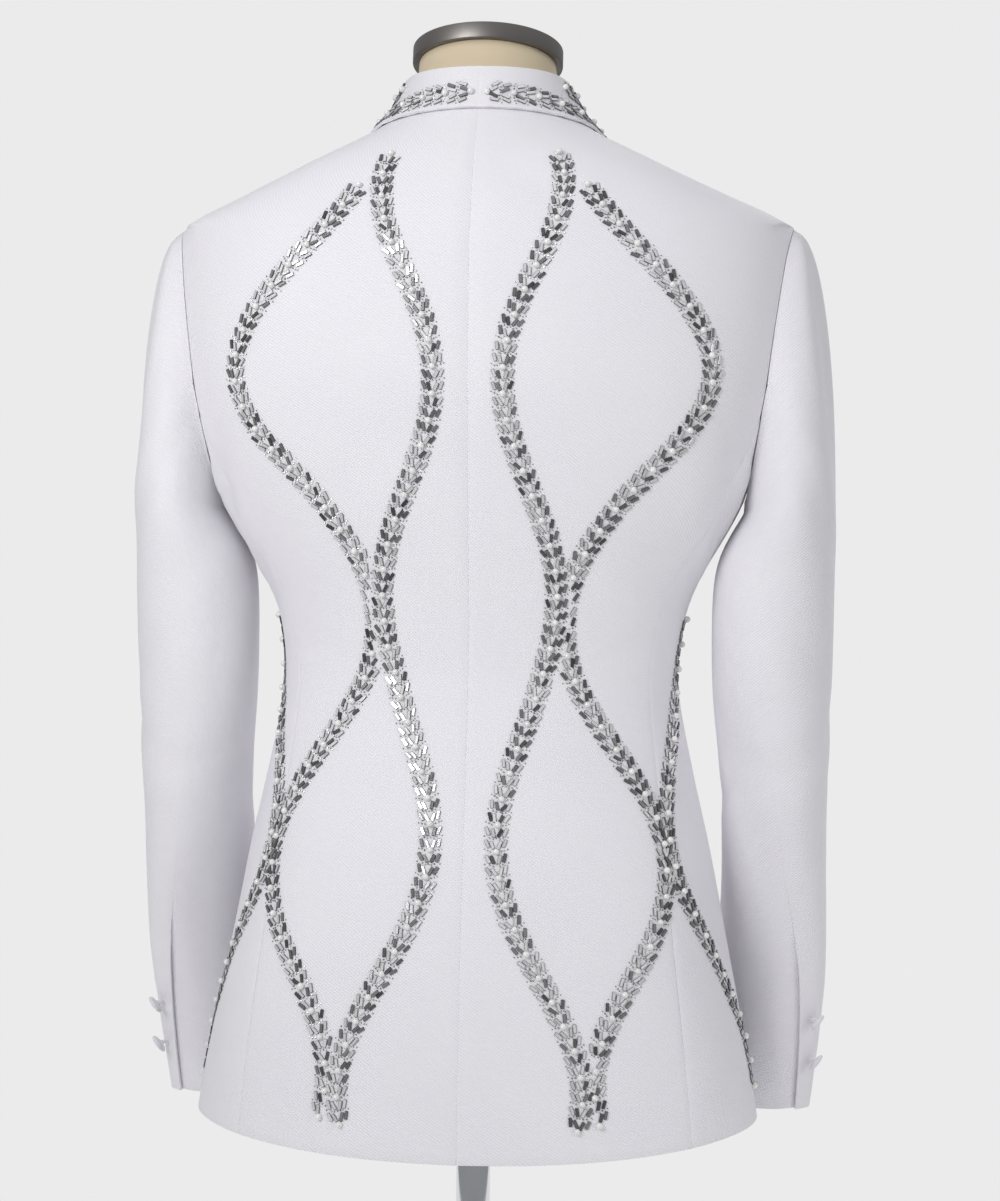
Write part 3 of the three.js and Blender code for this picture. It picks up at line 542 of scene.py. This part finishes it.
def drapeCloth(name, values):
    piece = cloth[name]
    kind, side = clothKind[name]
    points = values["points"]
    creases = sleeveCreases if kind == "sleeve" else bodyCreases
    offset = creaseOffset(creases, values["turn"], points[:, 2], sewing["creaseRadius"][kind])
    offset *= 1 - nearness(points, points[values["armhole"]], sewing["armholeReach"])
    offset -= sewing["seamDip"] * nearness(points, points[values["seam"]], sewing["dipReach"])
    if name in rims:
        offset -= sewing["collarPress"] * nearness(points, rims[name][0], sewing["collarReach"])
    moved = points + values["normals"] * offset[:, None] + values["close"]
    writePoints(piece.data, moved)
    shape = bmesh.new()
    shape.from_mesh(piece.data)
    roundAngle = math.radians(sewing["roundEdge"])
    edges = [edge for edge in shape.edges
             if len(edge.link_faces) == 2 and edge.calc_face_angle(0.0) > roundAngle]
    bmesh.ops.bevel(shape, geom=edges, offset=sewing["edgeRound"], offset_type="OFFSET", segments=2,
                    profile=0.5, affect="EDGES", material=-1, clamp_overlap=True)
    shape.to_mesh(piece.data)
    shape.free()
    after = readValues(piece.data.vertices, "co", 3).astype(float)
    turn = placeOnGarment(after, kind, side)[0]
    turn = np.where(after[:, 0] < 0, 180 - turn, turn) if kind == "body" else turn
    addClothUv(piece, turn, after[:, 2], sewing["weaveRadius"][kind])
    piece.data.polygons.foreach_set("material_index", [0] * len(piece.data.polygons))
    finish(piece, paint["cloth"])
    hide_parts(name)


for name, values in seamPoints().items():
    drapeCloth(name, values)
print("cloth pieces ready", sum(len(piece.data.polygons) for piece in cloth.values()), "faces")


def coveredButton(nodeName):
    piece = addPiece(nodeName + "_covered", copyNode(nodeName))
    subdivide(piece, sewing["levels"])
    finish(piece, paint["button"])
    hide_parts(nodeName)


for word in ("left", "right"):
    for place in (1, 2):
        coveredButton(f"sleeve_button_{word}_{place}")
coveredButton("front_button")


# Dress form and stand
stand = {
    "capRadius": 0.0555, "capHeight": 0.012, "capTilt": 10, "capLip": 0.004, "capSink": 0.0012,
    "capRound": 0.0006,
    "poleRadius": 0.0125, "poleLow": 0.0103, "poleHigh": 0.3297, "poleRound": 0.0004,
    "baseRadius": 0.16, "baseHeight": 0.010, "baseRise": 0.003, "baseRound": 0.0028,
    "hubRadius": 0.032, "hubHeight": 0.026, "hubTaper": 0.005, "socketGap": 0.0003,
    "steps": 96, "sharpAngle": 35, "formSharp": 60, "formLevels": 2,
}


def formPiece():
    shape = copyNode("form_torso")
    creaseRims(shape, stand["formSharp"])
    piece = addPiece("form_body", shape)
    subdivide(piece, stand["formLevels"])
    finish(piece, paint["form"])
    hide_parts("form_torso")


# A profile of radius, height and edge rounding, turned about the upright axis
def turned(name, rows, rounding):
    shape = bmesh.new()
    verts = [shape.verts.new((row["radius"], 0, row["height"])) for row in rows]
    for pair in zip(verts, verts[1:]):
        shape.edges.new(pair)
    corners = [vert for vert, row in zip(verts, rows) if row.get("round", 0)]
    bmesh.ops.bevel(shape, geom=corners, offset=rounding, offset_type="OFFSET", segments=3, profile=0.5,
                    affect="VERTICES", material=-1)
    bmesh.ops.spin(shape, geom=shape.verts[:] + shape.edges[:], cent=(0, 0, 0), axis=(0, 0, 1),
                   angle=2 * math.pi, steps=stand["steps"], use_merge=True)
    bmesh.ops.remove_doubles(shape, verts=shape.verts, dist=1e-6)
    bmesh.ops.recalc_face_normals(shape, faces=shape.faces)
    return addPiece(name, shape)


def sharpen(piece):
    piece.data.set_sharp_from_angle(angle=math.radians(stand["sharpAngle"]))


def capPiece():
    radius, height, lip = stand["capRadius"], stand["capHeight"], stand["capLip"]
    inner, floor = radius - lip, height - stand["capSink"]
    piece = turned("neck_cap_metal", [
        {"radius": 0, "height": 0}, {"radius": radius, "height": 0, "round": 1},
        {"radius": radius, "height": height, "round": 1}, {"radius": inner, "height": height, "round": 1},
        {"radius": inner, "height": floor}, {"radius": 0, "height": floor},
    ], stand["capRound"])
    low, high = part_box("neck_cap")
    middle = (Vector(low) + Vector(high)) / 2
    turnAndMove = Matrix.Translation(middle) @ Matrix.Rotation(math.radians(stand["capTilt"]), 4, "X")
    piece.data.transform(turnAndMove @ Matrix.Translation((0, 0, -height / 2)))
    finish(piece, paint["cap"])
    sharpen(piece)
    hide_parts("neck_cap")


def polePiece():
    radius, low, high = stand["poleRadius"], stand["poleLow"], stand["poleHigh"]
    piece = turned("pole_chrome", [
        {"radius": 0, "height": low}, {"radius": radius, "height": low},
        {"radius": radius, "height": high, "round": 1}, {"radius": 0, "height": high},
    ], stand["poleRound"])
    finish(piece, paint["chrome"])
    sharpen(piece)
    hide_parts("pole")


def basePiece():
    outer, height, hub, top = stand["baseRadius"], stand["baseHeight"], stand["hubRadius"], stand["hubHeight"]
    socket = stand["poleRadius"] + stand["socketGap"]
    piece = turned("base_chrome", [
        {"radius": 0, "height": 0}, {"radius": outer, "height": 0, "round": 1},
        {"radius": outer, "height": height, "round": 1},
        {"radius": hub, "height": height + stand["baseRise"], "round": 1},
        {"radius": hub - stand["hubTaper"], "height": top, "round": 1}, {"radius": socket, "height": top},
        {"radius": socket, "height": height}, {"radius": 0, "height": height},
    ], stand["baseRound"])
    finish(piece, paint["chrome"])
    sharpen(piece)
    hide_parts("base_plate")


formPiece()
capPiece()
polePiece()
basePiece()
print("form and stand ready")


# Beads: one motif of a pearl, bugles and small crystals, repeated along each band
beading = {
    "pitch": 0.0184, "bugle": (0.0024, 0.0014, 0.0061), "bugleBevel": 0.00026,
    "pearlRadius": 0.0024, "crystalRadius": 0.00062, "picotRadius": 0.00052,
    "unevenTurn": 5.0, "unevenPlace": 0.00018, "clear": 0.0023,
    # The sides of bugles and crystals get a darker tone than their outward faces: painted shade
    "patchLength": 0.034, "paintedSideShade": 0.22, "collarStart": 0.006, "collarEnd": 0.01,
    "collarStep": 0.002, "endGap": 0.002,
    "bugleSizes": (0.95, 1.04), "bugleLift": 0.42, "darkTones": (0.02, 0.28), "brightTones": (0.72, 1.0),
    "pearlSizes": (0.94, 1.05), "pearlLift": 0.72, "pearlTones": (0.4, 1.0),
    "smallSizes": (0.9, 1.15), "smallLift": 0.7, "smallTones": (0.3, 1.0),
    # Dark bugles come more often in patches and on one side of each band: painted reflection laid over a
    # random mix of tones
    "reflectionPatchDark": 0.5, "reflectionDarkOneSide": 0.35, "reflectionDarkOtherSide": 0.15, "seed": 11,
}
motif = [{"kind": "pearl", "along": 0, "across": 0},  # in millimetres, the slant in degrees
         {"kind": "crystal", "along": 9.2, "across": 0}]
for hand in (1, -1):
    for along in (4.6, 12.9):
        motif += [{"kind": "bugle", "along": along, "across": 2.5 * hand, "slant": 21 * hand},
                  {"kind": "bugle", "along": along + 0.9, "across": 6.1 * hand, "slant": 21 * hand}]
    motif += [{"kind": "crystal", "along": 0.2, "across": 3.9 * hand},
              {"kind": "crystal", "along": 0.9, "across": 5.9 * hand},
              {"kind": "crystal", "along": 9.5, "across": 4.5 * hand},
              {"kind": "crystal", "along": 8.7, "across": 2.3 * hand},
              {"kind": "picot", "along": 1.6, "across": 8.1 * hand},
              {"kind": "picot", "along": 10.2, "across": 8.2 * hand}]
random = np.random.default_rng(beading["seed"])


# The outer faces alone, because beads lie on them
def clothTree(names):
    points, faces = [], []
    for name in names:
        start = len(points)
        mesh = cloth[name].data
        centres = np.array([tuple(face.center) for face in mesh.polygons])
        outward = placeOnGarment(centres, *clothKind[name])[1]
        points += [vert.co.copy() for vert in mesh.vertices]
        faces += [[start + place for place in face.vertices] for face, out in zip(mesh.polygons, outward)
                  if face.normal.dot(Vector(out).normalized()) > figure["outerFacing"]]
    return BVHTree.FromPolygons(points, faces)


bodyNames = [f"{panel}_{word}" for word in ("left", "right") for panel in ("back", "side", "front")]
trees = {"body": clothTree(bodyNames)}
for name in rims:
    trees[name] = clothTree([name])
placed = {}


# Points on the body for turns from the middle of the back, found by looking in from outside
def bodyPath(rows, side):
    path = []
    for turn, height in rows:
        angle = math.radians(90 - turn * side)
        out = Vector((math.cos(angle), math.sin(angle), 0))
        start = Vector((0, jacketY, height)) + out * figure["castFrom"]
        hit = trees["body"].ray_cast(start, -out, figure["castReach"])[0]
        if hit is not None:
            path.append(hit)
    return path


# A line at a set distance from one rim of the collar towards the other, where it is wide enough
def collarPath(name, lineFrom, lineTo, distance, leastWidth):
    tree = KDTree(len(lineTo))
    for place, point in enumerate(lineTo):
        tree.insert(point, place)
    tree.balance()
    dense = evenly(lineFrom, beading["collarStep"], beading["collarStart"], beading["collarEnd"])
    path = []
    for point in dense:
        point = Vector(point)
        goal = Vector(tree.find(point)[0])
        if (goal - point).length > leastWidth:
            path.append(trees[name].find_nearest(point + (goal - point).normalized() * distance)[0])
    return path


# The length from a line's start to each of its points
def lengthsAlong(points):
    return np.concatenate([[0], np.cumsum(np.linalg.norm(np.diff(points, axis=0), axis=1))])


def evenly(points, step, startSkip, endSkip):
    points = np.array([tuple(point) for point in points])
    lengths = lengthsAlong(points)
    places = np.arange(startSkip, lengths[-1] - endSkip, step)
    return np.stack([np.interp(places, lengths, points[:, axis]) for axis in range(3)], 1)


def smoothPath(path, rounds=6):
    points = np.array([tuple(point) for point in path])
    for _ in range(rounds):
        points[1:-1] = (points[:-2] + 2 * points[1:-1] + points[2:]) / 4
    return points


# A few points along a bead, to test how near two beads are
def beadSpan(kind, spot, axis):
    reach = beading["bugle"][2] / 2 if kind == "bugle" else 0
    return [spot + axis * (reach * share) for share in ((-0.8, -0.3, 0.3, 0.8) if reach else (0,))]


def beadBand(group, path, treeName):
    points = smoothPath(path)
    lengths = lengthsAlong(points)
    tree, pitch = trees[treeName], beading["pitch"]
    room = lengths[-1] - 2 * beading["endGap"]
    count = int(room / pitch)
    pitch = room / max(count, 1)
    earlier = [point for row in placed.get(group, [])
               for point in beadSpan(row["kind"], row["place"], row["axis"])]
    taken = KDTree(max(len(earlier), 1))
    for place, point in enumerate(earlier):
        taken.insert(point, place)
    taken.balance()
    rows = []
    patches = random.uniform(0, 1, int(lengths[-1] / beading["patchLength"]) + 2)

    def at(length):
        return Vector([np.interp(length, lengths, points[:, axis]) for axis in range(3)])

    for number in range(count + 1):
        for item in motif:
            along = beading["endGap"] + number * pitch + item["along"] * mm * pitch / beading["pitch"]
            atEnd = number in (0, count) and item["along"] < 2
            if along > lengths[-1] or (atEnd and item["kind"] != "pearl"):
                continue
            centre = at(along)
            tangent = (at(min(along + 0.002, lengths[-1])) - at(max(along - 0.002, 0))).normalized()
            _, normal, _, _ = tree.find_nearest(centre)
            across = normal.cross(tangent).normalized()
            spot = centre + across * (item["across"] * mm) + normal * mm
            spot += Vector(random.normal(0, beading["unevenPlace"], 3))
            spot, normal, _, _ = tree.find_nearest(spot)
            tangent = (tangent - normal * tangent.dot(normal)).normalized()
            across = normal.cross(tangent)
            slant = math.radians(item.get("slant", 0) + random.normal(0, beading["unevenTurn"]))
            axis = (tangent * math.cos(slant) + across * math.sin(slant)).normalized()
            span = beadSpan(item["kind"], spot, axis)
            if earlier and any(taken.find(point)[2] < beading["clear"] for point in span):
                continue
            # Painted reflection: a bugle is more likely dark on one side of the band and in some patches
            sideReflectionDark = beading["reflectionDarkOneSide"] if item["across"] < 0 else beading["reflectionDarkOtherSide"]
            dark = patches[int(along / beading["patchLength"])] * beading["reflectionPatchDark"] + sideReflectionDark
            rows.append({"kind": item["kind"], "place": spot, "normal": normal, "axis": axis, "dark": dark})
    placed.setdefault(group, []).extend(rows)


def joinedBeads(name, template, rows, scales, lifts, tones, material, smooth):
    mesh = bpy.data.meshes.new("bead")
    template.to_mesh(mesh)
    base = readValues(mesh.vertices, "co", 3).astype(float)
    loops = readValues(mesh.loops, "vertex_index", 1, np.int32)
    totals = readValues(mesh.polygons, "loop_total", 1, np.int32)
    facing = readValues(mesh.polygons, "normal", 3)[:, 1] > 0.9
    bpy.data.meshes.remove(mesh)
    count = len(rows)
    normals = np.array([tuple(row["normal"]) for row in rows])
    axes = np.array([tuple(row["axis"]) for row in rows])
    turns = np.stack([np.cross(normals, axes), normals, axes], 2)
    centres = np.array([tuple(row["place"]) for row in rows]) + normals * np.asarray(lifts)[:, None]
    sized = base[None] * np.asarray(scales)[:, None, None]
    points = np.einsum("nij,nvj->nvi", turns, sized) + centres[:, None]
    mesh = bpy.data.meshes.new(name)
    mesh.vertices.add(count * len(base))
    mesh.vertices.foreach_set("co", points.astype(np.float32).ravel())
    mesh.loops.add(count * len(loops))
    allLoops = (loops[None] + np.arange(count)[:, None] * len(base)).astype(np.int32)
    mesh.loops.foreach_set("vertex_index", allLoops.ravel())
    mesh.polygons.add(count * len(totals))
    allTotals = np.tile(totals, count)
    mesh.polygons.foreach_set("loop_start", np.concatenate([[0], np.cumsum(allTotals)[:-1]]).astype(np.int32))
    mesh.update(calc_edges=True)
    attribute = mesh.attributes.new("tone", "FLOAT", "FACE")
    # Faces that don't look straight out from the cloth are darkened: painted shade on the sides of bugles and
    # crystals
    faceShade = np.ones(len(totals)) if smooth else np.where(facing, 1.0, beading["paintedSideShade"])
    attribute.data.foreach_set("value", (tones[:, None] * faceShade[None]).astype(np.float32).ravel())
    piece = bpy.data.objects.new(name, mesh)
    bpy.context.scene.collection.objects.link(piece)
    finish(piece, material)
    mesh.polygons.foreach_set("use_smooth", [smooth] * len(mesh.polygons))


# Square-cut glass tube: a bar with bevelled edges
def bugleTemplate():
    shape = bmesh.new()
    bmesh.ops.create_cube(shape, size=1.0)
    bmesh.ops.scale(shape, vec=beading["bugle"], verts=shape.verts)
    bmesh.ops.bevel(shape, geom=shape.edges[:], offset=beading["bugleBevel"], offset_type="OFFSET",
                    segments=1, profile=0.5, affect="EDGES", material=-1)
    return shape


def ballTemplate(subdivisions):
    shape = bmesh.new()
    bmesh.ops.create_icosphere(shape, subdivisions=subdivisions, radius=1.0)
    return shape


def makeBeads():
    bugle, pearl, crystal = bugleTemplate(), ballTemplate(2), ballTemplate(1)
    total = 0
    for group, rows in placed.items():
        kinds = {"bugle": [], "pearl": [], "crystal": [], "picot": []}
        for row in rows:
            kinds[row["kind"]].append(row)
        count = len(kinds["bugle"])
        # Each bugle is dark or bright: a random mix, with painted reflection in how often the dark ones fall
        dark = random.random(count) < np.array([row["dark"] for row in kinds["bugle"]])
        tones = np.where(dark, random.uniform(*beading["darkTones"], count),
                         random.uniform(*beading["brightTones"], count))
        sizes = random.uniform(*beading["bugleSizes"], count)
        lifts = np.full(count, beading["bugle"][1] * beading["bugleLift"])
        joinedBeads(f"bugles_{group}", bugle, kinds["bugle"], sizes, lifts, tones, paint["bugle"],
                    False)
        count = len(kinds["pearl"])
        sizes = beading["pearlRadius"] * random.uniform(*beading["pearlSizes"], count)
        tones = random.uniform(*beading["pearlTones"], count)
        joinedBeads(f"pearls_{group}", pearl, kinds["pearl"], sizes, sizes * beading["pearlLift"], tones,
                    paint["pearl"], True)
        small = kinds["crystal"] + kinds["picot"]
        radii = [beading[row["kind"] + "Radius"] for row in small]
        sizes = np.array(radii) * random.uniform(*beading["smallSizes"], len(small))
        tones = random.uniform(*beading["smallTones"], len(small))
        joinedBeads(f"crystals_{group}", crystal, small, sizes, sizes * beading["smallLift"], tones,
                    paint["crystal"], False)
        total += len(rows)
    for template in (bugle, pearl, crystal):
        template.free()
    print("beads", total)


# Bands on the body: a wave in turn from the middle of the back, past 90 degrees on the front
bodyBands = [
    {"group": "back", "middle": 24, "swing": 12, "phase": 0.0, "lean": 0, "low": 0.272, "high": 0.958},
    {"group": "back", "middle": 51, "swing": 12, "phase": 0.5, "lean": 0, "low": 0.276, "high": 0.934},
    {"group": "side", "middle": 77, "swing": 12, "phase": 0.0, "lean": 0, "low": 0.285, "high": 0.63},
    {"group": "front", "middle": 112, "swing": 8, "phase": 0.5, "lean": 0, "low": 0.30, "high": 0.705},
    {"group": "front", "middle": 135, "swing": 8, "phase": 0.0, "lean": -34, "low": 0.33, "high": 0.925},
]
wave = {"length": 0.33, "start": 0.30, "leanMiddle": 0.6, "step": 0.002}


def bodyBandRows(band):
    heights = np.arange(band["low"], band["high"], wave["step"])
    share = (heights - wave["start"]) / wave["length"] + band["phase"]
    turns = band["middle"] + band["swing"] * np.cos(2 * math.pi * share)
    return list(zip(turns + band["lean"] * (heights - wave["leanMiddle"]), heights))


for word, side in (("left", 1), ("right", -1)):
    for band in bodyBands:
        beadBand(f"{band['group']}_{word}", bodyPath(bodyBandRows(band), side), "body")
    name = f"shawl_{word}"
    edgeLine, foldLine = rims[name]
    beadBand(f"collar_{word}", collarPath(name, edgeLine, foldLine, distance=0.0115, leastWidth=0.020), name)
    beadBand(f"collar_{word}", collarPath(name, foldLine, edgeLine, distance=0.0100, leastWidth=0.040), name)
makeBeads()


# Floor, light and camera
studio = {
    "background": 0.83, "ambientLow": 0.17, "ambientHigh": 0.6, "floorRadius": 1.6, "floorFade": (0.35, 0.75),
    "cameraDistance": 1.85, "cameraTurn": 186.0, "cameraZ": 0.639, "lens": 75.0, "sensor": 36, "roll": 0.65,
    "aimPixels": 18, "framePixels": 1201, "cardReach": (0.3, 1.5), "cardSide": 29, "cardHeight": 0.002,
}


def addFloor():
    shape = bmesh.new()
    bmesh.ops.create_circle(shape, cap_ends=True, segments=128, radius=studio["floorRadius"])
    floor = addPiece("floor", shape)
    material, tree, shader = newMaterial("paleFloor", (0.8, 0.8, 0.8), Roughness=0.9)
    place = addNode(tree, "ShaderNodeTexCoord")
    away = addNode(tree, "ShaderNodeVectorMath", {0: place.outputs["Object"]}, operation="LENGTH")
    inner, outer = studio["floorFade"]
    fade = addNode(tree, "ShaderNodeMapRange", {0: away.outputs["Value"], 1: inner, 2: outer},
                   interpolation_type="SMOOTHSTEP")
    shine = addNode(tree, "ShaderNodeEmission", {"Strength": studio["background"]})
    blend = addNode(tree, "ShaderNodeMixShader",
                    {0: fade.outputs[0], 1: shader.outputs[0], 2: shine.outputs[0]})
    output = next(node for node in tree.nodes if node.type == "OUTPUT_MATERIAL")
    tree.links.new(blend.outputs[0], output.inputs["Surface"])
    floor.data.materials.append(material)


def areaLight(name, place, target, size, power, spread=180, glossy=True):
    light = bpy.data.lights.new(name, "AREA")
    light.shape = "RECTANGLE"
    light.size, light.size_y = size
    light.energy = power
    light.spread = math.radians(spread)
    lamp = bpy.data.objects.new(name, light)
    bpy.context.scene.collection.objects.link(lamp)
    lamp.location = place
    lamp.visible_camera = False
    lamp.visible_glossy = glossy
    lamp.rotation_euler = (Vector(target) - Vector(place)).to_track_quat("-Z", "Y").to_euler()


# The world is seen pale behind the object, and lights it from above more than from below
def addWorld():
    world = bpy.data.worlds.new("studio")
    bpy.context.scene.world = world
    world.use_nodes = True
    tree = world.node_tree
    tree.nodes.clear()
    place = addNode(tree, "ShaderNodeTexCoord")
    parts = addNode(tree, "ShaderNodeSeparateXYZ", {0: place.outputs["Generated"]})
    strengths = {0: parts.outputs[2], 1: -0.5, 2: 0.9, 3: studio["ambientLow"], 4: studio["ambientHigh"]}
    rise = addNode(tree, "ShaderNodeMapRange", strengths)
    soft = addNode(tree, "ShaderNodeBackground", {"Color": (0.96, 0.97, 1.0, 1), "Strength": rise.outputs[0]})
    seen = addNode(tree, "ShaderNodeBackground", {"Color": (1, 1, 1, 1), "Strength": studio["background"]})
    ray = addNode(tree, "ShaderNodeLightPath")
    blend = addNode(tree, "ShaderNodeMixShader",
                    {0: ray.outputs["Is Camera Ray"], 1: soft.outputs[0], 2: seen.outputs[0]})
    output = addNode(tree, "ShaderNodeOutputWorld")
    tree.links.new(blend.outputs[0], output.inputs["Surface"])


# Level directions from the pole: towards the camera, and across its view
def cameraSides():
    turn = math.radians(studio["cameraTurn"])
    return Vector((math.sin(turn), -math.cos(turn), 0)), Vector((math.cos(turn), math.sin(turn), 0))


# Dark card on the floor towards the camera, which shows only in the metal's reflections
def addCard():
    shape = bmesh.new()
    bmesh.ops.create_grid(shape, x_segments=1, y_segments=1, size=1.0)
    near, far = studio["cardReach"]
    towards, across = cameraSides()
    for vertex in shape.verts:
        reach = near if vertex.co.y < 0 else far
        side = math.tan(math.radians(studio["cardSide"])) * reach * vertex.co.x
        vertex.co = towards * reach + across * side + Vector((0, 0, studio["cardHeight"]))
    card = addPiece("floorCard", shape)
    card.visible_camera = card.visible_diffuse = card.visible_shadow = False
    dark = newMaterial("darkCard", (0.01, 0.01, 0.01), Roughness=1.0, Specular_IOR_Level=0.0)[0]
    card.data.materials.append(dark)


addFloor()
addCard()
addWorld()
areaLight("keyLight", (0.8, 1.5, 1.35), (0.02, 0, 0.92), (0.8, 0.8), 4.8, spread=95)
areaLight("fillLight", (-2.2, 1.6, 1.1), (0, 0, 0.7), (1.2, 1.8), 11, glossy=False)
areaLight("frontLight", (-0.9, -2.5, 1.9), (0, 0, 0.65), (1.4, 1.4), 36, glossy=False)
bpy.context.scene.view_settings.view_transform = "Standard"


def addCamera():
    camera = bpy.data.cameras.new("camera")
    camera.lens = studio["lens"]
    camera.sensor_width = studio["sensor"]
    holder = bpy.data.objects.new("camera", camera)
    bpy.context.scene.collection.objects.link(holder)
    away = cameraSides()[0]
    holder.location = Vector((0, jacketY, studio["cameraZ"])) + away * studio["cameraDistance"]
    look = (-away).to_track_quat("-Z", "Y")
    yaw = studio["aimPixels"] / studio["framePixels"] * studio["sensor"] / studio["lens"]
    roll = math.radians(studio["roll"])
    holder.rotation_mode = "QUATERNION"
    aim = look @ Euler((0, -yaw, 0)).to_quaternion()
    holder.rotation_quaternion = aim @ Euler((0, 0, roll)).to_quaternion()
    bpy.context.scene.camera = holder


addCamera()
print("scene ready")
